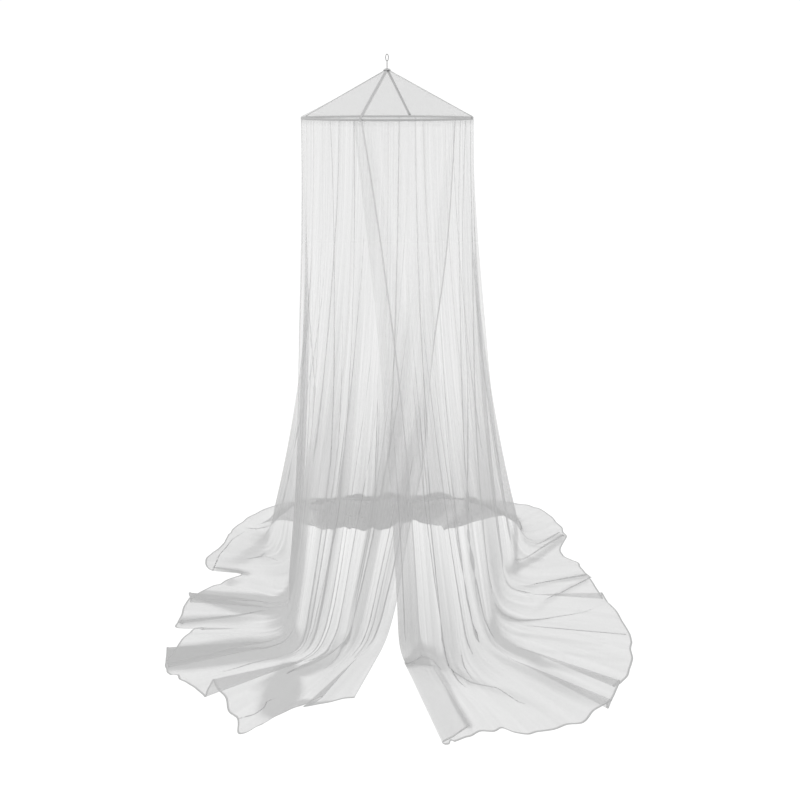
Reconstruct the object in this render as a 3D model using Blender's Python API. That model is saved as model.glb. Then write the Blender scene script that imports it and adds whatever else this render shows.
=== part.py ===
"""Mosquito net canopy: a wire hoop on a hanging loop, a roof of four gores under four
tapes, and a long net skirt that falls to the floor and lies there in folds.

Metres, +Z up, and the front opening faces -Y. Heights are measured from the floor. An
empty lowers the whole canopy, so that the origin is the seat of the hanging loop.
"""

from collections import namedtuple
from math import atan2, cos, hypot, pi, radians, sin

import bmesh
import bpy
import numpy as np
from mathutils import Vector

# ---- driving sizes ---------------------------------------------------------------
HOOP_RADIUS = 0.300
HOOP_HEIGHT = 1.870
HOOP_WIRE = 0.0025
HOOP_SIDES = 72
CLOTH = 0.0012
GAP = 0.0003

CASING_RADIUS = 0.0042
CASING_DROP = 0.0095
CASING_SLIT = 0.0004

ROOF_RISE = 0.152
ROOF_CLEARANCE = 0.0056
ROOF_EYE = 0.004
ROOF_OVERHANG = 0.004
TAPE_WIDTH = 0.0085
TAPE_START = 0.008
FIRST_TAPE_DEG = -15.6
CAP_RADIUS = 0.014
CAP_CLEARANCE = 0.0006

STEM_RADIUS = 0.0013
STEM_LENGTH = 0.033
FOOT_RADIUS = 0.009
FOOT_THICKNESS = 0.0016
LOOP_HEIGHT = 0.024
LOOP_WIDTH = 0.012
LOOP_WIRE = 0.0011

SKIRT_SEAT = 0.0012
SKIRT_TOP_DROP = 0.0048
OVERLAP_LIFT = 0.0027
OVERLAP_START_DEG = -300
OVERLAP_BLEND_DEG = 15
LEVEL_STEP = 0.0055
FREE_EDGE_DEG = -361
FREE_EDGE_BLEND_DEG = 8
BEND_HEIGHT = 0.100
BEND_REACH = 0.090
WALL_SAG = 0.75
OPENING_SAG = -0.60
OPENING_SAG_START_DEG = -340
OPENING_SAG_BLEND_DEG = 34
PLEAT_DEPTH = 0.014
PLEAT_COUNT = 17
RIDGE_HEIGHT = 0.004
RIDGE_COUNT = 23
SEAM_GAP = 0.0020

LOOP_SEAT = HOOP_HEIGHT + ROOF_RISE + STEM_LENGTH + LOOP_HEIGHT - 2 * LOOP_WIRE
SHEET_REST = CLOTH / 2 + 0.0002

# ---- the skirt's folds -----------------------------------------------------------
# One row for each fold or change of direction, from the left panel's free edge round
# the left side, the back and the right side to the right panel's free edge. The hoop
# angle runs from the front, positive towards +X. The ankle is where the cloth meets
# the floor, the hem is where it ends. Where the hem turns back on itself, the level
# counts the layers of the flat fold before and after the row. A heap of 1 piles the
# cloth up instead of spreading it, and reaches further inwards by the last column.
FOLD_FIELDS = "hoop_deg ankle_x ankle_y hem_x hem_y level_in level_out heap inward"
Fold = namedtuple("Fold", FOLD_FIELDS, defaults=(0,))
FOLDS = [
    Fold(49, 0.00, -0.42, -0.11, -0.76, 0, 0, 0),
    Fold(38, -0.05, -0.45, -0.28, -0.81, 0, 1, 0),
    Fold(34, -0.07, -0.46, -0.22, -0.77, 1, 2, 0),
    Fold(25, -0.12, -0.485, -0.37, -0.86, 0, 0, 0),
    Fold(17, -0.155, -0.50, -0.465, -0.94, 0, 0, 0),
    Fold(12, -0.175, -0.51, -0.50, -0.86, 0, 0, 0),
    Fold(3, -0.22, -0.52, -0.61, -0.67, 0, 1, 0),
    Fold(-3, -0.25, -0.525, -0.62, -0.77, 1, 2, 0),
    Fold(-12, -0.29, -0.52, -0.735, -0.65, 0, 0, 0),
    Fold(-20, -0.325, -0.50, -0.79, -0.63, 0, 0, 0),
    Fold(-28, -0.355, -0.47, -0.805, -0.51, 0, 1, 0),
    Fold(-32, -0.365, -0.455, -0.79, -0.61, 1, 2, 0),
    Fold(-37, -0.373, -0.443, -0.815, -0.50, 2, 3, 0),
    Fold(-41, -0.375, -0.43, -0.80, -0.605, 3, 4, 0),
    Fold(-47, -0.39, -0.39, -0.75, -0.375, 0, 0, 0),
    Fold(-53, -0.395, -0.35, -0.71, -0.37, 0, 0, 0),
    Fold(-58, -0.394, -0.31, -0.82, -0.35, 0, 0, 0),
    Fold(-63, -0.392, -0.27, -0.825, -0.27, 0, 0, 0),
    Fold(-68, -0.388, -0.24, -0.81, -0.135, 0, 1, 0),
    Fold(-71, -0.387, -0.228, -0.80, -0.195, 1, 2, 0),
    Fold(-75, -0.387, -0.214, -0.815, -0.13, 2, 3, 0),
    Fold(-78, -0.388, -0.20, -0.795, -0.185, 3, 4, 0),
    Fold(-83, -0.392, -0.155, -0.70, -0.03, 0, 0, 0),
    Fold(-89, -0.40, -0.08, -0.63, 0.04, 0, 0, 0),
    Fold(-97, -0.415, 0.03, -0.77, 0.07, 0, 0, 0),
    Fold(-105, -0.45, 0.13, -0.81, 0.17, 0, 0, 0),
    Fold(-114, -0.53, 0.21, -0.76, 0.33, 0, 0, 0),
    Fold(-123, -0.57, 0.30, -0.75, 0.44, 0, 0, 0),
    Fold(-132, -0.545, 0.40, -0.68, 0.58, 0, 0, 0.2),
    Fold(-142, -0.46, 0.46, -0.52, 0.72, 0, 0, 0.7, 0.00),
    Fold(-151, -0.37, 0.485, -0.35, 0.76, 0, 0, 1, 0.01),
    Fold(-161, -0.27, 0.50, -0.20, 0.77, 0, 0, 1, 0.04),
    Fold(-170, -0.17, 0.505, -0.06, 0.79, 0, 0, 1, 0.055),
    Fold(-180, -0.06, 0.51, 0.08, 0.80, 0, 0, 1, 0.02),
    Fold(-189, 0.05, 0.512, 0.20, 0.78, 0, 0, 1, 0.00),
    Fold(-198, 0.16, 0.508, 0.32, 0.76, 0, 0, 1, -0.02),
    Fold(-207, 0.27, 0.505, 0.43, 0.745, 0, 0, 1, 0.02),
    Fold(-216, 0.37, 0.50, 0.53, 0.73, 0, 0, 0.9, 0.05),
    Fold(-225, 0.48, 0.49, 0.63, 0.71, 0, 0, 0.4, 0.00),
    Fold(-233, 0.56, 0.45, 0.73, 0.66, 0, 0, 0.15),
    Fold(-241, 0.605, 0.39, 0.79, 0.52, 0, 0, 0),
    Fold(-249, 0.62, 0.31, 0.82, 0.38, 0, 0, 0),
    Fold(-257, 0.60, 0.21, 0.77, 0.22, 0, 0, 0),
    Fold(-266, 0.56, 0.10, 0.83, 0.12, 0, 0, 0),
    Fold(-274, 0.51, -0.02, 0.85, 0.00, 0, 0, 0),
    Fold(-283, 0.48, -0.11, 0.875, -0.16, 0, 1, 0),
    Fold(-287, 0.472, -0.135, 0.872, -0.125, 1, 2, 0),
    Fold(-294, 0.45, -0.20, 0.91, -0.33, 0, 0, 0),
    Fold(-301, 0.43, -0.28, 0.915, -0.47, 0, 0, 0),
    Fold(-308, 0.41, -0.36, 0.86, -0.62, 0, 0, 0),
    Fold(-315, 0.40, -0.41, 0.79, -0.71, 0, 1, 0),
    Fold(-319, 0.395, -0.43, 0.81, -0.68, 1, 2, 0),
    Fold(-326, 0.375, -0.475, 0.74, -0.815, 0, 1, 0),
    Fold(-330, 0.365, -0.495, 0.765, -0.78, 1, 2, 0),
    Fold(-337, 0.32, -0.55, 0.62, -0.89, 0, 0, 0),
    Fold(-345, 0.27, -0.58, 0.47, -0.93, 0, 0, 0),
    Fold(-353, 0.20, -0.59, 0.36, -0.915, 0, 0, 0),
    Fold(-361, 0.12, -0.565, 0.26, -0.955, 0, 0, 0),
    Fold(-380, 0.04, -0.50, 0.18, -0.98, 0, 1, 0),
    Fold(-374, 0.12, -0.47, 0.27, -0.90, 1, 1, 0),
]

# Each panel of the skirt runs from one seam to the next. The seams lie at these hoop
# angles, each of which is a row of the table above.
SEAMS_DEG = [49, -20, -53, -105, -180, -225, -274, -337, -374]

# Places across a span between two rows: a span next to a flat fold needs its turn.
TURN_STEPS = (0.0, 0.15, 0.5, 0.85)
PLAIN_STEPS = (0.0,)
WIDE_STEPS = (0.0, 0.5)
WIDE_SPAN_DEG = 8.5
TURN_END = 0.15
LATE_DROP_START = 0.60
LATE_DROP_END = 0.95

# Depths down the hanging wall, as shares of its height.
WALL_DEPTHS = (0.0, 0.07, 0.33, 0.60, 0.82)

# Places across the floor: share of the way from the bend to the hem. The lifts say
# how much of a flat fold's rise each point from the wall's foot to the hem takes.
FLAT_SHARES = (0.0, 0.18, 0.38, 0.58, 0.79, 1.0)
FLAT_LIFTS = (0.0, 0.25, 0.6, 0.9, 1.0, 1.0, 1.0, 1.0)
HEAP_LIFTS = (0.0, 0.0, 0.0, 0.0, 0.0, 0.0, 0.4, 1.0)

# Turns of a heap: reach outwards from the ankle, height above the floor, and how much
# of the row's inward reach each turn takes.
Turn = namedtuple("Turn", "reach height inward")
HEAP_TURNS = [
    Turn(0.000, 0.130, 0.0),
    Turn(0.150, 0.066, 0.0),
    Turn(0.090, 0.046, 0.0),
    Turn(-0.010, 0.042, 0.4),
    Turn(-0.076, 0.034, 1.0),
    Turn(-0.080, 0.018, 1.0),
    Turn(0.040, 0.008, 0.4),
]


def ease(share):
    """Smooth step from 0 to 1 with level ends."""
    share = min(1.0, max(0.0, share))
    return share * share * (3 - 2 * share)


def blend(first, second, share):
    return first + (second - first) * share


def material(name, colour, roughness, metallic=0.0):
    made = bpy.data.materials.new(name)
    made.use_nodes = True
    shader = made.node_tree.nodes["Principled BSDF"]
    shader.inputs["Base Color"].default_value = (*colour, 1.0)
    shader.inputs["Roughness"].default_value = roughness
    shader.inputs["Metallic"].default_value = metallic
    return made


def add_object(name, vertices, faces, look, parent, sharp_deg=50):
    """Make a mesh object, facing out, shaded smooth but for its sharp edges."""
    mesh = bpy.data.meshes.new(name)
    mesh.from_pydata([tuple(v) for v in vertices], [], faces)
    build = bmesh.new()
    build.from_mesh(mesh)
    bmesh.ops.recalc_face_normals(build, faces=build.faces)
    build.to_mesh(mesh)
    build.free()
    mesh.shade_smooth()
    mesh.set_sharp_from_angle(angle=radians(sharp_deg))
    mesh.materials.append(look)
    made = bpy.data.objects.new(name, mesh)
    made.parent = parent
    bpy.context.scene.collection.objects.link(made)
    return made


def grid_faces(columns, rows):
    """Quads of a sheet whose points run down each column in turn."""
    return [
        (c * rows + r, c * rows + r + 1, (c + 1) * rows + r + 1, (c + 1) * rows + r)
        for c in range(columns - 1)
        for r in range(rows - 1)
    ]


def ring_faces(rings, sides):
    """Quads of a tube whose rings close on themselves, and which closes end to end."""
    return [
        (
            ring * sides + side,
            ring * sides + (side + 1) % sides,
            (ring + 1) % rings * sides + (side + 1) % sides,
            (ring + 1) % rings * sides + side,
        )
        for ring in range(rings)
        for side in range(sides)
    ]


def thicken(sheet):
    """Give a sheet the cloth's thickness, half to each side."""
    solidify = sheet.modifiers.new("cloth thickness", "SOLIDIFY")
    solidify.thickness = CLOTH
    solidify.offset = 0.0
    solidify.use_even_offset = False
    solidify.use_rim = True


def on_hoop(angle_deg, radius, height):
    """A point at an angle from the front, positive towards +X."""
    angle = radians(angle_deg)
    return Vector((radius * sin(angle), -radius * cos(angle), height))


# ---- hoop, casing ----------------------------------------------------------------
def sweep_round_hoop(profile):
    """Rings of points of a profile, given as (outwards, up) from the wire's centre."""
    return [
        on_hoop(360 * ring / HOOP_SIDES, HOOP_RADIUS + out, HOOP_HEIGHT + up)
        for ring in range(HOOP_SIDES)
        for out, up in profile
    ]


def make_hoop(look, parent):
    sides = 10
    profile = [
        (HOOP_WIRE * cos(2 * pi * side / sides), HOOP_WIRE * sin(2 * pi * side / sides))
        for side in range(sides)
    ]
    vertices = sweep_round_hoop(profile)
    add_object("hoop_wire", vertices, ring_faces(HOOP_SIDES, sides), look, parent)


def make_casing(look, parent):
    """A tape folded over the wire, with its two edges hanging side by side below."""
    inner = CASING_RADIUS - CLOTH
    slit = CASING_SLIT / 2
    leg = slit + CLOTH
    arc_deg = [-70, -30, 10, 50, 90, 130, 170, 210, 250]
    outside = [
        (CASING_RADIUS * cos(radians(a)), CASING_RADIUS * sin(radians(a))) for a in arc_deg
    ]
    inside = [(inner * cos(radians(a)), inner * sin(radians(a))) for a in arc_deg]
    profile = [(leg, -CASING_DROP)]
    profile += outside
    profile += [(-leg, -CASING_DROP), (-slit, -CASING_DROP)]
    profile += [(-slit, -CASING_RADIUS)]
    profile += inside[::-1]
    profile += [(slit, -CASING_RADIUS), (slit, -CASING_DROP)]
    vertices = sweep_round_hoop(profile)
    faces = ring_faces(HOOP_SIDES, len(profile))
    add_object("hoop_casing", vertices, faces, look, parent)


# ---- roof ------------------------------------------------------------------------
def roof_height(radius, lift=0.0):
    """Height of the roof's cone, raised by a distance square to its slope."""
    slope = ROOF_RISE / HOOP_RADIUS
    raised = (ROOF_CLEARANCE + lift) * hypot(1.0, slope)
    return HOOP_HEIGHT + raised + (HOOP_RADIUS - radius) * slope


def make_roof_gore(number, look, parent):
    columns, rows = 11, 4
    first = FIRST_TAPE_DEG + 90 * (number - 1)
    rim = HOOP_RADIUS + ROOF_OVERHANG
    vertices = []
    for column in range(columns):
        for row in range(rows):
            radius = blend(ROOF_EYE, rim, row / (rows - 1))
            trim = 0.0
            if column == 0:
                trim = SEAM_GAP / 2
            if column == columns - 1:
                trim = -SEAM_GAP / 2
            angle = first + 90 * column / (columns - 1) + trim / radius * 180 / pi
            vertices.append(on_hoop(angle, radius, roof_height(radius)))
    gore = add_object(f"roof_gore_{number}", vertices, grid_faces(columns, rows), look, parent)
    thicken(gore)


def make_roof_tape(number, look, parent):
    """A flat tape on the seam between two gores, from the crown to the hoop."""
    angle = FIRST_TAPE_DEG + 90 * (number - 1)
    across = on_hoop(angle + 90, TAPE_WIDTH / 2, 0)
    lift = CLOTH + GAP
    vertices = []
    for side in (-1, 1):
        for share in (0.0, 0.5, 1.0):
            radius = blend(TAPE_START, HOOP_RADIUS + ROOF_OVERHANG, share)
            point = on_hoop(angle, radius, roof_height(radius, lift))
            vertices.append(point + across * side)
    tape = add_object(f"roof_tape_{number}", vertices, grid_faces(2, 3), look, parent)
    thicken(tape)


def make_crown_cap(look, parent):
    """A small cone of tape over the four tape ends, with an eye for the stem."""
    segments = 24
    lift = 2 * (CLOTH + GAP) + CAP_CLEARANCE
    eye = STEM_RADIUS + GAP
    profile = []
    for radius, rise in ((eye, 0), (CAP_RADIUS, 0), (CAP_RADIUS, CLOTH), (eye, CLOTH)):
        profile.append((radius, roof_height(radius, lift - CLOTH / 2 + rise)))
    vertices = [
        on_hoop(360 * ring / segments, radius, height)
        for ring in range(segments)
        for radius, height in profile
    ]
    add_object("crown_cap", vertices, ring_faces(segments, 4), look, parent, 30)


# ---- hanger ----------------------------------------------------------------------
def make_hanger(look, parent):
    """An oval wire loop on a stem, whose foot holds the roof up from below."""
    sides, rings = 8, 28
    bottom = HOOP_HEIGHT + ROOF_RISE + STEM_LENGTH
    centre = bottom + LOOP_HEIGHT / 2
    half_width = LOOP_WIDTH / 2 - LOOP_WIRE
    half_height = LOOP_HEIGHT / 2 - LOOP_WIRE
    vertices = []
    for ring in range(rings):
        turn = 2 * pi * ring / rings
        middle = Vector((half_width * cos(turn), 0, centre + half_height * sin(turn)))
        out = Vector((half_height * cos(turn), 0, half_width * sin(turn))).normalized()
        for side in range(sides):
            angle = 2 * pi * side / sides
            offset = out * cos(angle) + Vector((0, 1, 0)) * sin(angle)
            vertices.append(middle + offset * LOOP_WIRE)
    loop = add_object("hanger", vertices, ring_faces(rings, sides), look, parent)

    foot_top = roof_height(FOOT_RADIUS, -CLOTH / 2 - GAP)
    foot_bottom = foot_top - FOOT_THICKNESS
    stem_top = bottom + 2 * LOOP_WIRE - 0.0004
    outline = [
        (0, foot_bottom),
        (FOOT_RADIUS, foot_bottom),
        (FOOT_RADIUS, foot_top),
        (STEM_RADIUS, foot_top),
        (STEM_RADIUS, stem_top),
        (0, stem_top),
    ]
    stem_sides = 16
    points = [Vector((0, 0, foot_bottom))]
    for ring in range(stem_sides):
        points += [on_hoop(360 * ring / stem_sides, r, h) for r, h in outline[1:-1]]
    points.append(Vector((0, 0, stem_top)))
    faces = []
    for ring in range(stem_sides):
        here = 1 + 4 * ring
        after = 1 + 4 * ((ring + 1) % stem_sides)
        faces.append((0, here, after))
        faces += [(here + r, here + r + 1, after + r + 1, after + r) for r in range(3)]
        faces.append((here + 3, len(points) - 1, after + 3))
    stem = add_object("hanger_stem", points, faces, look, parent)
    stem.hide_render = True
    stem.display_type = "WIRE"
    union = loop.modifiers.new("stem and foot", "BOOLEAN")
    union.operation = "UNION"
    union.solver = "EXACT"
    union.object = stem


# ---- skirt -----------------------------------------------------------------------
def is_turn(row):
    return FOLDS[row].level_in != FOLDS[row].level_out


def slope_at(row, field):
    """Rate of change of a column of the table, nought where the cloth turns back."""
    if is_turn(row) or row in (0, len(FOLDS) - 1):
        return 0.0
    return (getattr(FOLDS[row + 1], field) - getattr(FOLDS[row - 1], field)) / 2


def across_span(row, share, field):
    """A column's value between a row and the next, on a smooth cubic."""
    if share == 0.0:
        return getattr(FOLDS[row], field)
    start, end = getattr(FOLDS[row], field), getattr(FOLDS[row + 1], field)
    rise = ease(share)
    leave = share * (1 - share) ** 2 * slope_at(row, field)
    arrive = -(share**2) * (1 - share) * slope_at(row + 1, field)
    return blend(start, end, rise) + leave + arrive


def level_at(row, share):
    """Layer level: it changes at the turns, and a long drop comes late in its span."""
    here = FOLDS[row]
    if share == 0.0:
        return (here.level_in + here.level_out) / 2
    after = FOLDS[row + 1]
    drop = ease((share - LATE_DROP_START) / (LATE_DROP_END - LATE_DROP_START))
    level = blend(here.level_out, after.level_in, drop)
    start = (here.level_in + here.level_out) / 2
    end = (after.level_in + after.level_out) / 2
    level = blend(start, level, min(1.0, share / TURN_END))
    return blend(end, level, min(1.0, (1 - share) / TURN_END))


def wall_share(depth, hoop_deg):
    """How far the wall has moved out from hoop to ankle at a depth."""
    opening = ease((OPENING_SAG_START_DEG - hoop_deg) / OPENING_SAG_BLEND_DEG)
    sag = blend(WALL_SAG, OPENING_SAG, opening)
    return depth - sag * depth * (1 - depth)


def wall_point(hoop, ankle, hoop_deg, height):
    depth = (hoop.z - height) / hoop.z
    share = wall_share(depth, hoop_deg)
    return Vector((blend(hoop.x, ankle.x, share), blend(hoop.y, ankle.y, share), height))


def flat_run(wall_end, ankle, hem):
    """Bend at the ankle, then a straight lie to the hem."""
    away = (hem - ankle).normalized()
    landing = ankle + away * BEND_REACH
    landing.z = hem.z
    corner = ankle.copy()
    corner.z = hem.z
    middle = wall_end * 0.25 + corner * 0.5 + landing * 0.25
    return [wall_end, middle] + [landing.lerp(hem, share) for share in FLAT_SHARES]


def heap_run(ankle, hem, inward):
    """Back and forth in a heap: outwards, back under, and out again to the hem."""
    away = Vector((ankle.x, ankle.y, 0)).normalized()
    run = [
        Vector((ankle.x, ankle.y, turn.height)) + away * (turn.reach - inward * turn.inward)
        for turn in HEAP_TURNS
    ]
    return run + [hem.copy()]


def column_points(row, share):
    """Points down the cloth at one place round the skirt, before its small folds."""
    hoop_deg = across_span(row, share, "hoop_deg")
    lift = OVERLAP_LIFT * ease((OVERLAP_START_DEG - hoop_deg) / OVERLAP_BLEND_DEG)
    seat = CASING_SLIT / 2 + CLOTH + SKIRT_SEAT + CLOTH / 2
    hoop = on_hoop(hoop_deg, HOOP_RADIUS + seat + lift, HOOP_HEIGHT - SKIRT_TOP_DROP)
    ankle_x = across_span(row, share, "ankle_x")
    ankle_y = across_span(row, share, "ankle_y")
    ankle = Vector((ankle_x, ankle_y, 0))
    hem_x = across_span(row, share, "hem_x")
    hem_y = across_span(row, share, "hem_y")
    hem = Vector((hem_x, hem_y, SHEET_REST))
    heap = across_span(row, share, "heap")

    wall = [
        wall_point(hoop, ankle, hoop_deg, hoop.z * (1 - depth)) for depth in WALL_DEPTHS
    ]
    end_height = blend(BEND_HEIGHT, HEAP_TURNS[0].height, heap)
    wall_end = wall_point(hoop, ankle, hoop_deg, end_height)
    flat = flat_run(wall_end, ankle, hem)
    piled = heap_run(ankle, hem, across_span(row, share, "inward"))
    floor = [a.lerp(b, heap) for a, b in zip(flat, piled)]
    free_edge = ease((FREE_EDGE_DEG - hoop_deg) / FREE_EDGE_BLEND_DEG)
    wall_lifts = [free_edge] * len(WALL_DEPTHS)
    floor_lifts = [
        max(free_edge, blend(flat, piled, heap))
        for flat, piled in zip(FLAT_LIFTS, HEAP_LIFTS)
    ]
    level = level_at(row, share)
    return wall + floor, [level * lift for lift in wall_lifts + floor_lifts]


def lift_layers(points, levels):
    """Move each point square to the cloth, outwards on the wall and up on the floor."""
    moved = []
    last = len(points) - 1
    for index, point in enumerate(points):
        along = points[min(index + 1, last)] - points[max(index - 1, 0)]
        out = Vector((point.x, point.y, 0)).normalized()
        side = out * -along.z
        side.z = along.dot(out)
        moved.append(point + side.normalized() * (LEVEL_STEP * levels[index]))
    return moved


def pleat(point):
    """Uneven pleats: the wall moves in and out, the floor rises in soft rays."""
    turn = atan2(point.x, -point.y)
    fine = sin(PLEAT_COUNT * turn + 1.3 * sin(3 * turn + 0.5))
    broad = sin(5 * turn + 0.8)
    depth = 1 - point.z / HOOP_HEIGHT
    wall = ease(2.2 * depth) * ease(point.z / (2 * BEND_HEIGHT))
    out = Vector((point.x, point.y, 0)).normalized()
    moved = point + out * (PLEAT_DEPTH * wall * (fine + 0.5 * broad))
    ray = 0.5 + 0.5 * sin(RIDGE_COUNT * turn + 1.1 * sin(4 * turn))
    reach = ease((hypot(point.x, point.y) - 0.5) / 0.25)
    moved.z += RIDGE_HEIGHT * ray * reach * (1 - ease(point.z / BEND_HEIGHT))
    return moved


def unit(vectors):
    return vectors / np.linalg.norm(vectors, axis=-1, keepdims=True)


def skirt_places():
    """Each column's place round the skirt, as a row of the table and a share past it."""
    places = []
    for row in range(len(FOLDS) - 1):
        steps = PLAIN_STEPS
        if FOLDS[row].hoop_deg - FOLDS[row + 1].hoop_deg > WIDE_SPAN_DEG:
            steps = WIDE_STEPS
        if is_turn(row) or is_turn(row + 1):
            steps = TURN_STEPS
        places += [(row, share) for share in steps]
    return places + [(len(FOLDS) - 1, 0.0)]


def skirt_faces(places):
    """Both faces of the whole skirt, as two grids of points half a thickness apart."""
    grid = []
    for row, share in places:
        points, levels = column_points(row, share)
        grid.append([tuple(pleat(point)) for point in lift_layers(points, levels)])
    grid = np.array(grid)
    around = unit(np.gradient(grid, axis=0))
    down = unit(np.gradient(grid, axis=1))
    square = unit(np.cross(around, down)) * (CLOTH / 2)
    return grid + square, grid - square


def closed_sheet_faces(columns, rows):
    """Faces of a sheet with a rim, from the points of its two sides one after the other.

    Both sides split each of their uneven quads along the same diagonal.
    """
    near = []
    for a, b, c, d in grid_faces(columns, rows):
        near += [(a, b, c), (a, c, d)]
    count = columns * rows
    far = [tuple(count + corner for corner in reversed(face)) for face in near]
    edge = [c * rows for c in range(columns)]
    edge += [(columns - 1) * rows + r for r in range(1, rows)]
    edge += [c * rows + rows - 1 for c in range(columns - 2, -1, -1)]
    edge += [r for r in range(rows - 2, 0, -1)]
    rim = [(a, b, count + b, count + a) for a, b in zip(edge, edge[1:] + edge[:1])]
    return near + far + rim


def make_skirt(look, parent):
    places = skirt_places()
    outer, inner = skirt_faces(places)
    rows_at = {fold.hoop_deg: row for row, fold in enumerate(FOLDS)}
    for number in range(1, len(SEAMS_DEG)):
        first = places.index((rows_at[SEAMS_DEG[number - 1]], 0.0))
        last = places.index((rows_at[SEAMS_DEG[number]], 0.0))
        sides = []
        for whole in (outer, inner):
            part = whole[first : last + 1].copy()
            part[0] += unit(part[1] - part[0]) * (SEAM_GAP / 2)
            part[-1] += unit(part[-2] - part[-1]) * (SEAM_GAP / 2)
            sides.append(part.reshape(-1, 3))
        faces = closed_sheet_faces(last + 1 - first, outer.shape[1])
        add_object(f"skirt_panel_{number}", np.concatenate(sides), faces, look, parent)


# ---- build -----------------------------------------------------------------------
def build():
    for old in list(bpy.data.objects):
        bpy.data.objects.remove(old)
    origin = bpy.data.objects.new("canopy", None)
    origin.location = (0, 0, -LOOP_SEAT)
    bpy.context.scene.collection.objects.link(origin)

    net = material("white net", (0.72, 0.72, 0.72), 0.8)
    roof_net = material("white roof net", (0.72, 0.72, 0.72), 0.8)
    tape = material("woven tape", (0.66, 0.66, 0.66), 0.85)
    casing = material("casing tape", (0.66, 0.66, 0.66), 0.85)
    steel = material("hoop steel", (0.62, 0.62, 0.62), 0.35, 1.0)
    wire = material("hanger wire", (0.32, 0.32, 0.32), 0.4, 1.0)

    make_hanger(wire, origin)
    make_crown_cap(tape, origin)
    make_hoop(steel, origin)
    make_casing(casing, origin)
    for number in (1, 2, 3, 4):
        make_roof_gore(number, roof_net, origin)
        make_roof_tape(number, tape, origin)
    make_skirt(net, origin)


build()
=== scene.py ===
import bpy
import numpy as np
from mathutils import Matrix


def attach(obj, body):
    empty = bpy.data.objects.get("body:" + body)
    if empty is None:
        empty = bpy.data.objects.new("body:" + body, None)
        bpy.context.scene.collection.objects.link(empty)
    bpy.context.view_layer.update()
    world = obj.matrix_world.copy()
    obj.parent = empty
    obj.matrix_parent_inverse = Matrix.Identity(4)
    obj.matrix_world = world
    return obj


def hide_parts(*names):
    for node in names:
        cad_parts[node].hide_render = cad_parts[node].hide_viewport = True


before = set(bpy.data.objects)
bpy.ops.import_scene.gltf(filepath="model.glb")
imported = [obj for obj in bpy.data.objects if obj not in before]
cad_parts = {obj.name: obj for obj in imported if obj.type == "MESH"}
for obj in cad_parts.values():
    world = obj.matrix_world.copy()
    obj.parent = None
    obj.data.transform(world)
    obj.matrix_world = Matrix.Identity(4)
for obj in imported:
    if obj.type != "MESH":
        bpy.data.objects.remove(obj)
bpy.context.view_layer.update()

# ---- floor, light and camera -------------------------------------------------------
# The canopy hangs over a plain white floor in soft even light. The origin is the seat
# of its loop, and the camera stands in front at head height and looks down a little.
FLOOR_Z = -2.0768
CAMERA_PLACE = (0.0448, -3.14, FLOOR_Z + 1.935)
CAMERA_PITCH_DEG = 70.33
CAMERA_LENS_MM = 38.0
SENSOR_MM = 36.0
FLOOR_HALF = 9.0
FLOOR_DROP = 0.0008
FLOOR_GLOW = 0.785
SKY_STRENGTH = 1.045
WHITE = (1.0, 1.0, 1.0, 1.0)


def add_object(name, data):
    """An object in the scene, at the origin."""
    made = bpy.data.objects.new(name, data)
    bpy.context.scene.collection.objects.link(made)
    return made


camera_data = bpy.data.cameras.new("camera")
camera_data.lens = CAMERA_LENS_MM
camera_data.sensor_width = SENSOR_MM
camera = add_object("camera", camera_data)
camera.location = CAMERA_PLACE
camera.rotation_euler = (np.radians(CAMERA_PITCH_DEG), 0.0, 0.0)
bpy.context.scene.camera = camera
bpy.context.scene.view_settings.view_transform = "Standard"

world = bpy.data.worlds.new("soft sky")
world.use_nodes = True
sky = world.node_tree.nodes["Background"]
sky.inputs["Color"].default_value = WHITE
sky.inputs["Strength"].default_value = SKY_STRENGTH
bpy.context.scene.world = world


def principled(name, colour, roughness, metallic=0.0):
    """A material whose shader is one Principled BSDF, and that shader."""
    made = bpy.data.materials.new(name)
    made.use_nodes = True
    shader = made.node_tree.nodes["Principled BSDF"]
    shader.inputs["Base Color"].default_value = (*colour, 1.0)
    shader.inputs["Roughness"].default_value = roughness
    shader.inputs["Metallic"].default_value = metallic
    return made, shader


floor_material, floor_shader = principled("pale floor", (0.21, 0.21, 0.21), 0.95)
floor_shader.inputs["Emission Color"].default_value = WHITE
floor_shader.inputs["Emission Strength"].default_value = FLOOR_GLOW
floor_corners = np.array([(-1, -1), (1, -1), (1, 1), (-1, 1)]) * FLOOR_HALF
floor_mesh = bpy.data.meshes.new("floor")
floor_mesh.from_pydata(
    [(x, y, FLOOR_Z - FLOOR_DROP) for x, y in floor_corners.tolist()], [], [(0, 1, 2, 3)]
)
floor_mesh.materials.append(floor_material)
floor = add_object("floor", floor_mesh)


def area_light(name, place, aim, size, power):
    """A square soft light that faces a point."""
    data = bpy.data.lights.new(name, "AREA")
    data.size = size
    data.energy = power
    made = add_object(name, data)
    made.location = place
    x, y, z = np.array(aim) - np.array(place)
    made.rotation_euler = (np.arctan2(np.hypot(x, y), -z), 0.0, np.arctan2(y, x) - np.pi / 2)


area_light("left light", (-2.6, -2.2, 1.2), (0, 0, -1.2), 2.5, 45)
area_light("right light", (3.0, -1.0, 0.8), (0, 0, -1.2), 2.5, 25)


# ---- hanging loop and hoop ---------------------------------------------------------
# A wire loop on a stem carries the roof's point, and a hoop of round wire spreads the
# net. Both are drawn steel wire, bent and welded, with dull spots.
WIRE_SPOT_SIZE = 0.004
WIRE_BUMP = 0.00005


def add_node(tree, kind, **settings):
    made = tree.nodes.new(kind)
    for key, value in settings.items():
        setattr(made, key, value)
    return made


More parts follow.
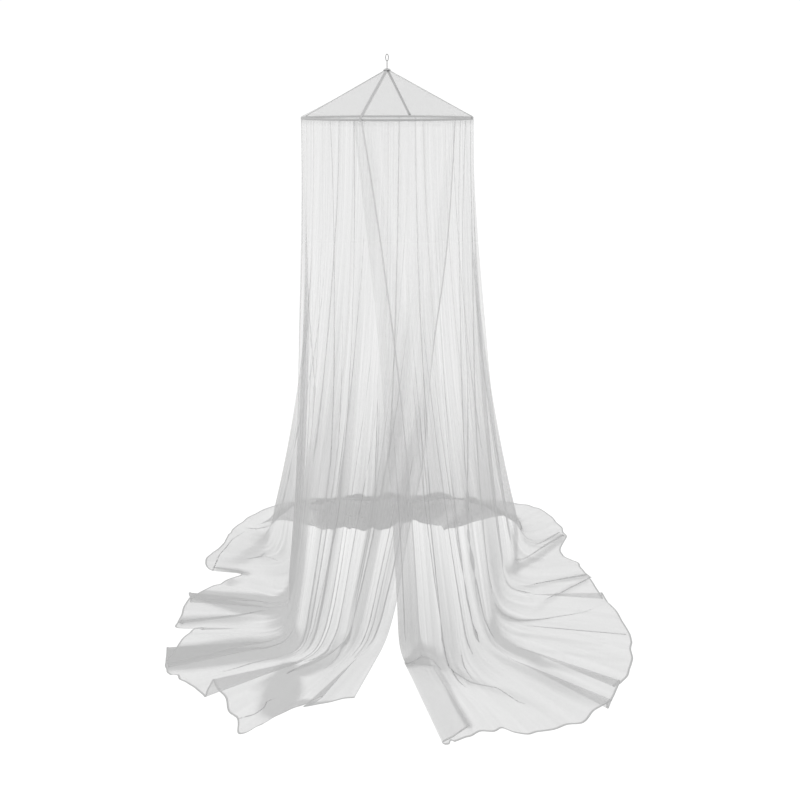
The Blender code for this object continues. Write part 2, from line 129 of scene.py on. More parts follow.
def math_node(tree, operation, *values):
    """A Math node whose inputs are numbers or other nodes' outputs."""
    made = add_node(tree, "ShaderNodeMath", operation=operation)
    for index, value in enumerate(values):
        if isinstance(value, bpy.types.NodeSocket):
            tree.links.new(value, made.inputs[index])
        else:
            made.inputs[index].default_value = value
    return made.outputs[0]


def bump(tree, shader, height, distance):
    """Raises the surface by a height from 0 to 1 times a distance in metres."""
    made = add_node(tree, "ShaderNodeBump")
    made.inputs["Distance"].default_value = distance
    tree.links.new(height, made.inputs["Height"])
    tree.links.new(made.outputs["Normal"], shader.inputs["Normal"])


def wire_material(name, colour, roughness):
    """Drawn wire: dull spots from a noise over Object coordinates change its gloss."""
    made, shader = principled(name, colour, roughness, 1.0)
    tree = made.node_tree
    place = add_node(tree, "ShaderNodeTexCoord")
    spots = add_node(tree, "ShaderNodeTexNoise")
    spots.inputs["Scale"].default_value = 1 / WIRE_SPOT_SIZE
    spots.inputs["Detail"].default_value = 4.0
    tree.links.new(place.outputs["Object"], spots.inputs["Vector"])
    dull = math_node(tree, "MULTIPLY_ADD", spots.outputs["Fac"], 0.35, roughness - 0.15)
    tree.links.new(dull, shader.inputs["Roughness"])
    bump(tree, shader, spots.outputs["Fac"], WIRE_BUMP)
    return made


hanger_wire = wire_material("hanger wire", (0.16, 0.16, 0.16), 0.45)
hoop_steel = wire_material("hoop steel", (0.55, 0.55, 0.56), 0.35)
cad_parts["hanger"].material_slots[0].material = hanger_wire
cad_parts["hoop_wire"].material_slots[0].material = hoop_steel


# ---- hoop casing -------------------------------------------------------------------
# A white woven tape folded over the hoop, its two edges stitched together below over
# the skirt's top edge. It puckers a little between the stitches.
HOOP_RADIUS = 0.300
HOOP_HEIGHT = 1.870
CASING_TUBE = 0.0031
CASING_LEG = 0.0006
CASING_DROP = 0.0046
CASING_CLOTH = 0.0006
CASING_TURNS = 600
CASING_LEG_ROWS = 5
CASING_TUBE_ROWS = 16
PUCKER_DEPTH = 0.0004
PUCKER_COUNT = 150
TAPE_COLOUR = (0.36, 0.36, 0.36)
# Painted shade and highlight: the tape's colour times these, from its weave's hollows to its raised
# threads and stitches.
TAPE_SHADE_TO_HIGHLIGHT = (0.80, 1.30)
TAPE_PICK = 0.0008
TAPE_BUMP = 0.00025
STITCH_LENGTH = 0.0030
STITCH_HALF = 0.0004


def cloth_map(tree):
    """Metres across and along the cloth, from the UV map."""
    uv = add_node(tree, "ShaderNodeUVMap", uv_map="cloth")
    split = add_node(tree, "ShaderNodeSeparateXYZ")
    tree.links.new(uv.outputs["UV"], split.inputs[0])
    return split.outputs[0], split.outputs[1]


def tape_material(name, colour, stitch_places):
    """Woven tape: a plain weave over the UV map in metres, with rows of stitches.

    The weave is a cosine across times a cosine along, so picks and ends stand up in
    turn. A stitch row is a line along the tape, dashed over two thirds of each stitch.
    """
    made, shader = principled(name, colour, 0.85)
    tree = made.node_tree
    across, along = cloth_map(tree)
    turns = 2 * np.pi / TAPE_PICK
    end, pick = (
        math_node(tree, "COSINE", math_node(tree, "MULTIPLY", way, turns)) for way in (across, along)
    )
    height = math_node(tree, "MULTIPLY_ADD", math_node(tree, "MULTIPLY", end, pick), 0.25, 0.5)
    run = math_node(tree, "MULTIPLY", along, 1 / STITCH_LENGTH)
    dash = math_node(tree, "LESS_THAN", math_node(tree, "FRACT", run), 0.66)
    for place in stitch_places:
        off = math_node(tree, "ABSOLUTE", math_node(tree, "SUBTRACT", across, place))
        row = math_node(tree, "MULTIPLY", math_node(tree, "LESS_THAN", off, STITCH_HALF), dash)
        height = math_node(tree, "MAXIMUM", height, row)
    # Painted shade and highlight: darker in the weave's hollows, lighter on the raised threads and
    # stitches.
    ramp = add_node(tree, "ShaderNodeValToRGB")
    for element, brightness in zip(ramp.color_ramp.elements, TAPE_SHADE_TO_HIGHLIGHT):
        element.color = (*(brightness * c for c in colour), 1.0)
    tree.links.new(height, ramp.inputs["Fac"])
    tree.links.new(ramp.outputs["Color"], shader.inputs["Base Color"])
    bump(tree, shader, height, TAPE_BUMP)
    return made


def ease(share):
    """Smooth step from 0 to 1 with level ends: 3 s squared less 2 s cubed."""
    share = np.clip(share, 0.0, 1.0)
    return share * share * (3 - 2 * share)


def blend(first, second, share):
    return first + (second - first) * share


def on_hoop(angle, radius, height):
    """Points at angles from the front, positive towards +X, at heights over the floor."""
    place = np.broadcast_arrays(radius * np.sin(angle), -radius * np.cos(angle), height + FLOOR_Z)
    return np.stack(place, axis=-1)


def cloth_lengths(points, axis):
    """Metres along the cloth from the first point, summed along one axis of the grid."""
    step = np.linalg.norm(np.diff(points, axis=axis), axis=-1)
    start = np.zeros_like(points[..., 0].take([0], axis=axis))
    return np.concatenate([start, np.cumsum(step, axis=axis)], axis=axis)


def cloth_grid(name, points, material, closed=False, uv_turned=False):
    """A smooth sheet from a grid of points, columns by rows, at the origin.

    Its UV map "cloth" is in metres along the cloth: across from the middle column and
    down from the first row, or the other way about if it is turned.
    """
    around = np.concatenate([points, points[:1]]) if closed else points
    columns, rows = around.shape[:2]
    place = np.arange(columns * rows).reshape(columns, rows)
    corners = np.stack(
        [place[:-1, :-1], place[1:, :-1], place[1:, 1:], place[:-1, 1:]], axis=-1
    ).reshape(-1, 4)
    faces = corners % (len(points) * rows)
    mesh = bpy.data.meshes.new(name)
    mesh.from_pydata(points.reshape(-1, 3).tolist(), [], faces.tolist())
    mesh.shade_smooth()
    mesh.materials.append(material)
    across = cloth_lengths(around, 0)
    across = across - across[columns // 2]
    down = cloth_lengths(around, 1)
    uv = np.stack([down, across] if uv_turned else [across, down], axis=-1).reshape(-1, 2)
    layer = mesh.uv_layers.new(name="cloth")
    layer.data.foreach_set("uv", uv[corners.ravel()].astype(np.float32).ravel())
    return add_object(name, mesh)


def thicken(piece, thickness):
    """Gives a sheet its cloth's thickness, half to each side."""
    solidify = piece.modifiers.new("cloth thickness", "SOLIDIFY")
    solidify.thickness = thickness
    solidify.offset = 0.0


def place_piece(piece, node):
    """The piece rides on the canopy's body and stands for one node."""
    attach(piece, "root")
    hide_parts(node)


def casing_surface():
    """The tape's middle surface: up the inner leg, round the wire, down the outer leg.

    A small wave round the hoop moves both legs in and out together, and swells the
    tube between the stitches.
    """
    angle = -np.arange(CASING_TURNS) / CASING_TURNS * 2 * np.pi
    mouth = np.arcsin(CASING_LEG / CASING_TUBE)
    tube_angle = np.linspace(-np.pi / 2 - mouth, -5 * np.pi / 2 + mouth, CASING_TUBE_ROWS)
    leg_top = -CASING_TUBE * np.cos(mouth)
    leg_up = np.linspace(-CASING_DROP, leg_top, CASING_LEG_ROWS)
    out = np.concatenate([
        np.full(CASING_LEG_ROWS, -CASING_LEG),
        CASING_TUBE * np.cos(tube_angle[1:-1]),
        np.full(CASING_LEG_ROWS, CASING_LEG),
    ])
    up = np.concatenate([leg_up, CASING_TUBE * np.sin(tube_angle[1:-1]), leg_up[::-1]])
    wave = PUCKER_DEPTH * np.sin(PUCKER_COUNT * angle + 2 * np.sin(3 * angle))[:, None]
    swell = 1 + wave / CASING_TUBE * ease((up - leg_top) / CASING_TUBE)
    sway = wave * (1 - ease((up - leg_top) / CASING_TUBE)) * 0.5
    radius = HOOP_RADIUS + out * swell + sway
    return on_hoop(angle[:, None], radius, HOOP_HEIGHT + up * swell)


casing_tape = tape_material("casing tape", TAPE_COLOUR, (0.0020, 0.0300))
casing = cloth_grid("casing", casing_surface(), casing_tape, closed=True, uv_turned=True)
thicken(casing, CASING_CLOTH)
place_piece(casing, "hoop_casing")


# ---- roof --------------------------------------------------------------------------
# Four gores of the same fine net, sewn to each other under the tapes and stretched
# from the crown to the hoop. Between the tapes the net sags a little.
ROOF_RISE = 0.152
ROOF_CLEARANCE = 0.0056
ROOF_EYE = 0.004
ROOF_RIM = 0.304
FIRST_TAPE_DEG = -15.6
GORE_TRIM = 0.001
GORE_COLUMNS = 65
GORE_ROWS = 49
GORE_SAG = 0.005
GORE_RIPPLE = 0.0008
GORE_RIPPLES = 9
GORE_COVER = 0.31
GORE_SEAM_COVER = 0.6
GORE_SEAM = 0.004
NET_COLOUR = (0.385, 0.385, 0.385)
MESH_CELL = 0.0016
NET_BUMP = 0.0002


def net_material(name, colour):
    """Net whose opacity is the cover attribute, broken up by its own hexagon mesh.

    The mesh is the sum of three cosine waves at 120 degrees over the UV map in metres:
    high in the holes and low on the threads.
    """
    made, shader = principled(name, colour, 0.75)
    tree = made.node_tree
    u, v = cloth_map(tree)
    turns = 2 * np.pi / MESH_CELL
    total = 0.0
    for turn in (0.0, 2 * np.pi / 3, 4 * np.pi / 3):
        along_u = math_node(tree, "MULTIPLY", u, turns * np.cos(turn))
        along_v = math_node(tree, "MULTIPLY", v, turns * np.sin(turn))
        wave = math_node(tree, "COSINE", math_node(tree, "ADD", along_u, along_v))
        total = math_node(tree, "ADD", total, wave)
    thread = math_node(tree, "MULTIPLY_ADD", total, -0.22, 1.0)
    cover = add_node(tree, "ShaderNodeAttribute", attribute_name="cover")
    opacity = math_node(tree, "MULTIPLY", cover.outputs["Fac"], thread)
    tree.links.new(opacity, shader.inputs["Alpha"])
    bump(tree, shader, thread, NET_BUMP)
    return made


def make_sheer(piece, cover):
    """Sets the share of the surface that the threads cover, at each point of the net.

    The net is so open and thin that it throws no shadow on its other layers.
    """
    held = piece.data.attributes.new("cover", "FLOAT", "POINT")
    held.data.foreach_set("value", cover.astype(np.float32).ravel())
    piece.visible_shadow = False
    piece.visible_diffuse = False


def roof_height(radius, lift=0.0):
    """Height of the roof's cone, raised by a distance square to its slope."""
    slope = ROOF_RISE / HOOP_RADIUS
    raised = (ROOF_CLEARANCE + lift) * np.hypot(1.0, slope)
    return HOOP_HEIGHT + raised + (HOOP_RADIUS - radius) * slope


def gore_surface(first_deg):
    """A quarter of the cone, lowered by a sag that is greatest in its middle.

    The sag is a half sine across times a half sine down, and ripples that fade
    towards the hoop run down from the crown.
    """
    across = np.linspace(1, 0, GORE_COLUMNS)[:, None]
    down = np.linspace(0, 1, GORE_ROWS)[None, :]
    radius = blend(ROOF_EYE, ROOF_RIM, down)
    trim = GORE_TRIM * (1 - 2 * across) / radius
    angle = np.radians(first_deg + 90 * across) + trim
    arch = np.sin(np.pi * across)
    sag = GORE_SAG * arch * np.sin(np.pi * down)
    ripple = GORE_RIPPLE * arch * np.sin(2 * np.pi * GORE_RIPPLES * across) * (1 - down)
    ripple = ripple * ease(down / 0.2)
    return on_hoop(angle, radius, roof_height(radius) - sag + ripple)


roof_net = net_material("white roof net", NET_COLOUR)
for number in (1, 2, 3, 4):
    gore_points = gore_surface(FIRST_TAPE_DEG + 90 * (number - 1))
    gore = cloth_grid(f"roof_net_{number}", gore_points, roof_net)
    from_edge = cloth_lengths(gore_points, 0)
    from_edge = np.minimum(from_edge, from_edge[-1:] - from_edge)
    at_seam = 1 - ease((from_edge - GORE_SEAM / 2) / GORE_SEAM)
    make_sheer(gore, blend(GORE_COVER, GORE_SEAM_COVER, at_seam))
    place_piece(gore, f"roof_gore_{number}")


# ---- roof tapes --------------------------------------------------------------------
# Four narrow woven tapes cover the roof's seams, stitched along both edges. Each runs
# from the crown over the hoop, and its end is turned down over the casing.
TAPE_WIDTH = 0.0085
TAPE_CLOTH = 0.0009
TAPE_START = 0.008
TAPE_LIFT = 0.0015
TAPE_COLUMNS = 9
TAPE_ROWS = 70
TAPE_BEND_ROWS = 10
TAPE_TAIL_ROWS = 6
TAPE_BEND = 0.0025
TAPE_TAIL = 0.0085
TAPE_CROWN = 0.0004
TAPE_STITCH = 0.0028


def tape_surface(angle_deg):
    """A strip down the cone, round a small bend over the hoop, and down the casing."""
    down = np.linspace(0, 1, TAPE_ROWS)
    radius = blend(TAPE_START, ROOF_RIM, down)
    height = roof_height(radius, TAPE_LIFT)
    slope = np.arctan(ROOF_RISE / HOOP_RADIUS)
    turn = np.linspace(slope, np.pi / 2, TAPE_BEND_ROWS + 1)[1:]
    bend_out = radius[-1] + TAPE_BEND * (np.sin(turn) - np.sin(slope))
    bend_down = height[-1] - TAPE_BEND * (np.cos(slope) - np.cos(turn))
    tail = np.linspace(0, TAPE_TAIL, TAPE_TAIL_ROWS + 1)[1:]
    radius = np.concatenate([radius, bend_out, np.full(TAPE_TAIL_ROWS, bend_out[-1])])
    height = np.concatenate([height, bend_down, bend_down[-1] - tail])
    middle = on_hoop(np.radians(angle_deg), radius, height)
    side = on_hoop(np.radians(angle_deg + 90), 1.0, -FLOOR_Z)
    across = np.linspace(0.5, -0.5, TAPE_COLUMNS)[:, None, None]
    crown = TAPE_CROWN * (1 - (2 * across) ** 2) * np.array([0, 0, 1])
    return middle[None] + side * across * TAPE_WIDTH + crown


woven_tape = tape_material("woven tape", TAPE_COLOUR, (-TAPE_STITCH, TAPE_STITCH))
for number in (1, 2, 3, 4):
    tape_points = tape_surface(FIRST_TAPE_DEG + 90 * (number - 1))
    tape = cloth_grid(f"tape_{number}", tape_points, woven_tape)
    thicken(tape, TAPE_CLOTH)
    place_piece(tape, f"roof_tape_{number}")


# ---- crown cap ---------------------------------------------------------------------
# A small round patch of the same tape, drawn together round the stem and stitched
# down over the four tape ends, so its edge is lobed and its top is gathered.
CAP_EYE = 0.0020
CAP_RADIUS = 0.0140
CAP_LIFT = 0.0040
CAP_DOME = 0.0010
CAP_GATHER = 0.0005
CAP_GATHERS = 16
CAP_COLUMNS = 128
CAP_ROWS = 18


def cap_surface():
    """A cone with four lobes, a low dome and gathers that fade towards its edge."""
    angle = -np.arange(CAP_COLUMNS)[:, None] / CAP_COLUMNS * 2 * np.pi
    down = np.linspace(0, 1, CAP_ROWS)[None, :]
    lobes = np.cos(4 * (angle - np.radians(FIRST_TAPE_DEG)))
    radius = blend(CAP_EYE, CAP_RADIUS * (0.94 + 0.06 * lobes), down)
    dome = CAP_DOME * np.sin(np.pi * down)
    gather = CAP_GATHER * np.sin(CAP_GATHERS * angle) * np.sin(np.pi * down)
    return on_hoop(angle, radius, roof_height(radius, CAP_LIFT) + dome + gather)


cap_tape = tape_material("crown cap tape", TAPE_COLOUR, (0.0105, 0.0112))
cap = cloth_grid("crown_patch", cap_surface(), cap_tape, closed=True, uv_turned=True)
thicken(cap, TAPE_CLOTH)
place_piece(cap, "crown_cap")


# ---- skirt -------------------------------------------------------------------------
# The net skirt is sewn under the casing, hangs in uneven pleats and lies on the floor
# in folds. Eight panels of fine net are seamed edge to edge, with a narrow rolled hem.
# The two front edges are free and overlap.
SKIRT_TOP_RADIUS = HOOP_RADIUS + 0.0032
SKIRT_TOP = HOOP_HEIGHT - 0.0034
OVERLAP_LIFT = 0.0027
LEVEL_STEP = 0.0055
BEND_HEIGHT = 0.100
BEND_REACH = 0.090
SHEET_REST = 0.0008

# One row for each fold or change of direction: the angle round the hoop, where the
# cloth meets the floor, where it ends, the layers of a flat fold before and after the
# row, how far the cloth is heaped up instead of spread, and the heap's reach inwards.
# Places are in millimetres, and the last columns are nought where they are left out.
# The turns of one flat fold share a line.
FOLD_FIELDS = "hoop_deg ankle_x ankle_y hem_x hem_y level_in level_out heap inward".split()
FOLD_ROWS = (
    (49, 0, -420, -110, -760),
    (38, -50, -450, -280, -810, 0, 1), (34, -70, -460, -220, -770, 1, 2),
    (25, -120, -485, -370, -860),
    (17, -155, -500, -465, -940),
    (12, -175, -510, -500, -860),
    (3, -220, -520, -610, -670, 0, 1), (-3, -250, -525, -620, -770, 1, 2),
    (-12, -290, -520, -735, -650),
    (-20, -325, -500, -790, -630),
    (-28, -355, -470, -805, -510, 0, 1), (-32, -365, -455, -790, -610, 1, 2),
    (-37, -373, -443, -815, -500, 2, 3), (-41, -375, -430, -800, -605, 3, 4),
    (-47, -390, -390, -750, -375),
    (-53, -395, -350, -710, -370),
    (-58, -394, -310, -820, -350),
    (-63, -392, -270, -825, -270),
    (-68, -388, -240, -810, -135, 0, 1), (-71, -387, -228, -800, -195, 1, 2),
    (-75, -387, -214, -815, -130, 2, 3), (-78, -388, -200, -795, -185, 3, 4),
    (-83, -392, -155, -700, -30),
    (-89, -400, -80, -630, 40),
    (-97, -415, 30, -770, 70),
    (-105, -450, 130, -810, 170),
    (-114, -530, 210, -760, 330),
    (-123, -570, 300, -750, 440),
    (-132, -545, 400, -680, 580, 0, 0, 0.2),
    (-142, -460, 460, -520, 720, 0, 0, 0.7),
    (-151, -370, 485, -350, 760, 0, 0, 1, 10),
    (-161, -270, 500, -200, 770, 0, 0, 1, 40),
    (-170, -170, 505, -60, 790, 0, 0, 1, 55),
    (-180, -60, 510, 80, 800, 0, 0, 1, 20),
    (-189, 50, 512, 200, 780, 0, 0, 1),
    (-198, 160, 508, 320, 760, 0, 0, 1, -20),
    (-207, 270, 505, 430, 745, 0, 0, 1, 20),
    (-216, 370, 500, 530, 730, 0, 0, 0.9, 50),
    (-225, 480, 490, 630, 710, 0, 0, 0.4),
    (-233, 560, 450, 730, 660, 0, 0, 0.15),
    (-241, 605, 390, 790, 520),
    (-249, 620, 310, 820, 380),
    (-257, 600, 210, 770, 220),
    (-266, 560, 100, 830, 120),
    (-274, 510, -20, 850, 0),
    (-283, 480, -110, 875, -160, 0, 1), (-287, 472, -135, 872, -125, 1, 2),
    (-294, 450, -200, 910, -330),
    (-301, 430, -280, 915, -470),
    (-308, 410, -360, 860, -620),
    (-315, 400, -410, 790, -710, 0, 1), (-319, 395, -430, 810, -680, 1, 2),
    (-326, 375, -475, 740, -815, 0, 1), (-330, 365, -495, 765, -780, 1, 2),
    (-337, 320, -550, 620, -890),
    (-345, 270, -580, 470, -930),
    (-353, 200, -590, 360, -915),
    (-361, 120, -565, 260, -955),
    (-380, 40, -500, 180, -980, 0, 1), (-374, 120, -470, 270, -900, 1, 1),
)
FOLD_UNITS = (1, 1000, 1000, 1000, 1000, 1, 1, 1, 1000)
FOLDS = np.array([row + (0,) * (len(FOLD_UNITS) - len(row)) for row in FOLD_ROWS]) / FOLD_UNITS
SEAMS_DEG = (49, -20, -53, -105, -180, -225, -274, -337, -374)
LAST_ROW = len(FOLDS) - 1
LATE_DROP_START = 0.60
LATE_DROP_LENGTH = 0.35
TURN_END = 0.15


def fold(row, field):
    """A column of the table of folds at an array of rows."""
    return FOLDS[np.clip(row, 0, LAST_ROW), FOLD_FIELDS.index(field)]


def slope_at(row, field):
    """Half the difference of a row's two neighbours, nought where the cloth turns back."""
    still = (fold(row, "level_in") != fold(row, "level_out")) | (row <= 0) | (row >= LAST_ROW)
    return np.where(still, 0.0, (fold(row + 1, field) - fold(row - 1, field)) / 2)


def cubic(start, end, leave, arrive, share):
    """The cubic from one value to another with the slopes it leaves and arrives with."""
    left = blend(start, end, ease(share)) + share * (1 - share) ** 2 * leave
    return left - share**2 * (1 - share) * arrive


def across(row, share, field):
    """A column between two rows: the cubic with the rows' values and slopes at its ends."""
    ends = fold(row, field), fold(row + 1, field)
    return cubic(*ends, slope_at(row, field), slope_at(row + 1, field), share)


def level_at(row, share):
    """Layer level between two rows: it changes at the turns, and its drop comes late."""
    drop = ease((share - LATE_DROP_START) / LATE_DROP_LENGTH)
    level = blend(fold(row, "level_out"), fold(row + 1, "level_in"), drop)
    start = (fold(row, "level_in") + fold(row, "level_out")) / 2
    end = (fold(row + 1, "level_in") + fold(row + 1, "level_out")) / 2
    level = blend(start, level, np.clip(share / TURN_END, 0, 1))
    return blend(end, level, np.clip((1 - share) / TURN_END, 0, 1))


def unit(vectors):
    return vectors / np.maximum(np.linalg.norm(vectors, axis=-1, keepdims=True), 1e-9)


WALL_SAG = 0.75
OPENING_SAG = -0.60
OPENING_DEGS = (-340, 34)
OVERLAP_DEGS = (-300, 15)
FREE_EDGE_DEGS = (-361, 8)
PLEAT_COUNT = 17
PLEAT_DEPTH = 0.014
RAY_COUNT = 23
RAY_HEIGHT = 0.004
WALL_ROWS = 80
FLOOR_ROWS = 100
LEAD_ROWS = 5
FLAT_SHARES = (0.0, 0.18, 0.38, 0.58, 0.79, 1.0)
FLAT_LIFTS = np.array([0, 0.25, 0.6, 0.9, 1, 1, 1, 1])
HEAP_LIFTS = np.array([0, 0, 0, 0, 0, 0, 0.4, 1])
HEAP_REACH = np.array([0.000, 0.090, 0.150, 0.090, -0.010, -0.080, 0.040])
HEAP_HEIGHT = np.array([0.130, 0.080, 0.062, 0.046, 0.042, 0.026, 0.010])
HEAP_INWARD = np.array([0, 0, 0, 0, 0.4, 1, 0.4])


def past(hoop_deg, degs):
    """0 up to the first of two angles round the hoop, then 1 the second further on."""
    return ease((degs[0] - hoop_deg) / degs[1])


def wall_points(hoop, ankle, hoop_deg, height):
    """Points on the hanging wall: from hoop to ankle, with a sag square to the depth."""
    depth = (SKIRT_TOP - height) / SKIRT_TOP
    sag = blend(WALL_SAG, OPENING_SAG, past(hoop_deg, OPENING_DEGS))[:, None]
    share = depth - sag * depth * (1 - depth)
    x = blend(hoop[:, None, 0], ankle[:, None, 0], share)
    y = blend(hoop[:, None, 1], ankle[:, None, 1], share)
    return np.stack([x, y, np.broadcast_to(height, x.shape)], axis=-1)


def smooth_through(points, count):
    """Catmull-Rom curve from each column's second point on, at count even steps."""
    last = points.shape[1] - 1
    place = np.linspace(1, last, count)
    index = np.minimum(place.astype(int), last - 1)
    share = (place - index)[None, :, None]
    before, here = points[:, np.maximum(index - 1, 0)], points[:, index]
    after, beyond = points[:, index + 1], points[:, np.minimum(index + 2, last)]
    return cubic(here, after, (after - before) / 2, (beyond - here) / 2, share)


def skirt_grid(row, share):
    """The skirt's surface before its small folds: columns round it, rows down it."""
    hoop_deg = across(row, share, "hoop_deg")
    angle = np.radians(hoop_deg)
    radius = SKIRT_TOP_RADIUS + OVERLAP_LIFT * past(hoop_deg, OVERLAP_DEGS)
    hoop = np.column_stack([radius * np.sin(angle), -radius * np.cos(angle)])
    ankle = np.column_stack([across(row, share, "ankle_x"), across(row, share, "ankle_y")])
    hem = np.column_stack([across(row, share, "hem_x"), across(row, share, "hem_y")])
    heap = across(row, share, "heap")
    level = level_at(row, share)

    end_height = blend(BEND_HEIGHT, HEAP_HEIGHT[0], heap)
    drop = np.linspace(0, 1, WALL_ROWS)
    height = SKIRT_TOP + (end_height[:, None] - SKIRT_TOP) * drop
    wall = wall_points(hoop, ankle, hoop_deg, height)
    wall_end = wall[:, -1]

    landing = ankle + unit(hem - ankle) * BEND_REACH
    rest = np.full((len(hoop_deg), 1), SHEET_REST)
    landing3 = np.hstack([landing, rest])
    hem3 = np.hstack([hem, rest])
    middle = wall_end * 0.25 + np.hstack([ankle, rest]) * 0.5 + landing3 * 0.25
    flat = np.stack(
        [wall_end, middle] + [blend(landing3, hem3, share) for share in FLAT_SHARES], axis=1
    )
    outward = unit(ankle)
    inward = across(row, share, "inward")[:, None]
    reach = HEAP_REACH[None] - inward * HEAP_INWARD[None]
    piled_xy = ankle[:, None] + outward[:, None] * reach[..., None]
    piled_z = np.broadcast_to(HEAP_HEIGHT[None, :, None], piled_xy.shape[:2] + (1,))
    piled = np.concatenate([np.concatenate([piled_xy, piled_z], axis=2), hem3[:, None]], axis=1)
    floor_run = blend(flat, piled, heap[:, None, None])
    lead = wall[:, -LEAD_ROWS - 1 : -LEAD_ROWS]
    run = smooth_through(np.concatenate([lead, floor_run], axis=1), FLOOR_ROWS)
    points = np.concatenate([wall[:, :-1], run], axis=1)

    lifts = blend(FLAT_LIFTS[None], HEAP_LIFTS[None], heap[:, None])
    lifts = np.pad(lifts, ((0, 0), (1, 0)))[..., None]
    run_lift = smooth_through(lifts, FLOOR_ROWS)[..., 0]
    lift = np.pad(run_lift, ((0, 0), (WALL_ROWS - 1, 0)))
    lift = np.maximum(lift, past(hoop_deg, FREE_EDGE_DEGS)[:, None])

    down = unit(np.gradient(points, axis=1))
    out = unit(points[..., :2])
    along_out = (down[..., :2] * out).sum(-1)
    side = np.concatenate([out * -down[..., 2:], along_out[..., None]], axis=-1)
    return points + unit(side) * (LEVEL_STEP * level[:, None] * lift)[..., None]


def pleat(points):
    """Uneven pleats: the wall moves in and out, the floor rises in soft rays."""
    x, y, z = np.moveaxis(points, -1, 0)
    turn = np.arctan2(x, -y)
    fine = np.sin(PLEAT_COUNT * turn + 1.3 * np.sin(3 * turn + 0.5))
    broad = np.sin(5 * turn + 0.8)
    wall = ease(2.2 * (1 - z / HOOP_HEIGHT)) * ease(z / (2 * BEND_HEIGHT))
    reach = np.hypot(x, y)
    move = PLEAT_DEPTH * wall * (fine + 0.5 * broad)
    ray = 0.5 + 0.5 * np.sin(RAY_COUNT * turn + 1.1 * np.sin(4 * turn))
    rise = RAY_HEIGHT * ray * ease((reach - 0.5) / 0.25) * (1 - ease(z / BEND_HEIGHT))
    return np.stack([x + x / reach * move, y + y / reach * move, z + rise], axis=-1)


def in_metres(lines, units):
    """The named lines of a table, each column divided by its unit: metres and shares."""
    return {name: np.array(points) / units for name, points in lines.items()}


# The main creases of the hanging net, where it doubles back on itself. Each runs down
# through points: the hoop angle of its cloth, the way down it in percent, 0 at the hoop,
# 100 where it meets the floor and 200 at the hem, and the crease's width in millimetres.
WALL_CREASES = in_metres({
    "left edge": ((-88, 0, 5), (-86, 80, 5), (-86, 95, 0)),
    "left edge, beside": ((-77, 0, 4), (-58, 24, 4), (-46, 53, 5), (-46, 100, 7), (-48, 110, 0)),
    "front left 1": ((-37, 0, 4), (-21, 65, 5), (-17, 115, 8), (-16, 125, 0)),
    "front left 2": ((-20, 0, 4), (-13, 60, 7), (-10, 110, 9), (-9, 125, 0)),
    "front left 2, beside": ((-26, 25, 0), (-18, 60, 4), (-15, 110, 6), (-14, 130, 0)),
    "front left 3": ((0, 25, 0), (-1, 80, 4), (-2, 130, 5), (-3, 145, 0)),
    "front left 4": ((8, 40, 0), (6, 80, 4), (5, 120, 6), (4, 135, 0)),
    "front left 5": ((24, 30, 0), (21, 60, 5), (17, 110, 6), (16, 125, 0)),
    "front left 6": ((32, 60, 0), (31, 85, 5), (30, 120, 5), (30, 130, 0)),
    "left selvedge": ((41, 55, 0), (40, 85, 6), (38, 115, 7), (37, 125, 0)),
    "front right 1": ((-353, 15, 0), (-352, 60, 4), (-352, 130, 5), (-351, 145, 0)),
    "front right 2": ((-346, 20, 0), (-342, 70, 4), (-340, 105, 6), (-339, 115, 0)),
    "front right 3": ((-342, 30, 0), (-336, 75, 5), (-334, 102, 5), (-333, 116, 0)),
    "long line, right": ((-299, 0, 5), (-310, 50, 6), (-326, 82, 7), (-323, 105, 6), (-322, 116, 0)),
    "long line, beside": ((-306, 0, 4), (-318, 55, 4), (-326, 90, 6), (-327, 100, 0)),
    "right side": ((-289, 0, 4), (-300, 95, 7), (-301, 105, 0)),
    "right edge": ((-277, 0, 5), (-277, 85, 5), (-277, 95, 0)),
    "back left": ((-142, 0, 4), (-146, 80, 6), (-146, 92, 0)),
    "back, left of the middle": ((-165, 10, 0), (-161, 70, 5), (-160, 92, 0)),
    "back, middle": ((-188, 0, 5), (-184, 80, 7), (-183, 95, 0)),
    "back, right of the middle": ((-200, 0, 5), (-202, 75, 6), (-202, 88, 0)),
    "back right": ((-214, 10, 0), (-212, 70, 5), (-212, 92, 0)),
    "back right 2": ((-233, 0, 4), (-229, 75, 5), (-228, 90, 0)),
    "right side, back": ((-250, 0, 4), (-247, 75, 6), (-246, 90, 0)),
}, (1, 100, 1000))
FINE_CREASES = 30
FINE_SEED = 7


def fine_creases():
    """Narrow creases at uneven places all round, which drift and fade as they fall."""
    chance = np.random.default_rng(FINE_SEED)
    lines = []
    for number in range(FINE_CREASES):
        deg = 45 - 415 * (number + chance.uniform(-0.4, 1.4)) / FINE_CREASES
        start, end = chance.uniform(0.0, 0.55), chance.uniform(0.80, 1.50)
        drift = chance.uniform(-4, 4)
        width = chance.uniform(0.0030, 0.0050)
        lines.append((
            (deg, start, 0.0), (deg + drift / 2, (start + end) / 2, width),
            (deg + drift, end - 0.1, 1.2 * width), (deg + drift, end, 0.0),
        ))
    return lines


def down_line(line, way):
    """A line's hoop angle and its further columns at each way down the cloth."""
    points = np.array(line)
    places = [np.interp(way, points[:, 1], points[:, 0])]
    return places + [np.interp(way, points[:, 1], column, right=0.0) for column in points[:, 2:].T]


def column_at(deg, hoop_deg):
    """The place among the columns, with its fraction, of a hoop angle at each row."""
    falling = int(np.argmin(hoop_deg)) + 1
    return np.interp(-deg, -hoop_deg[:falling], np.arange(falling))


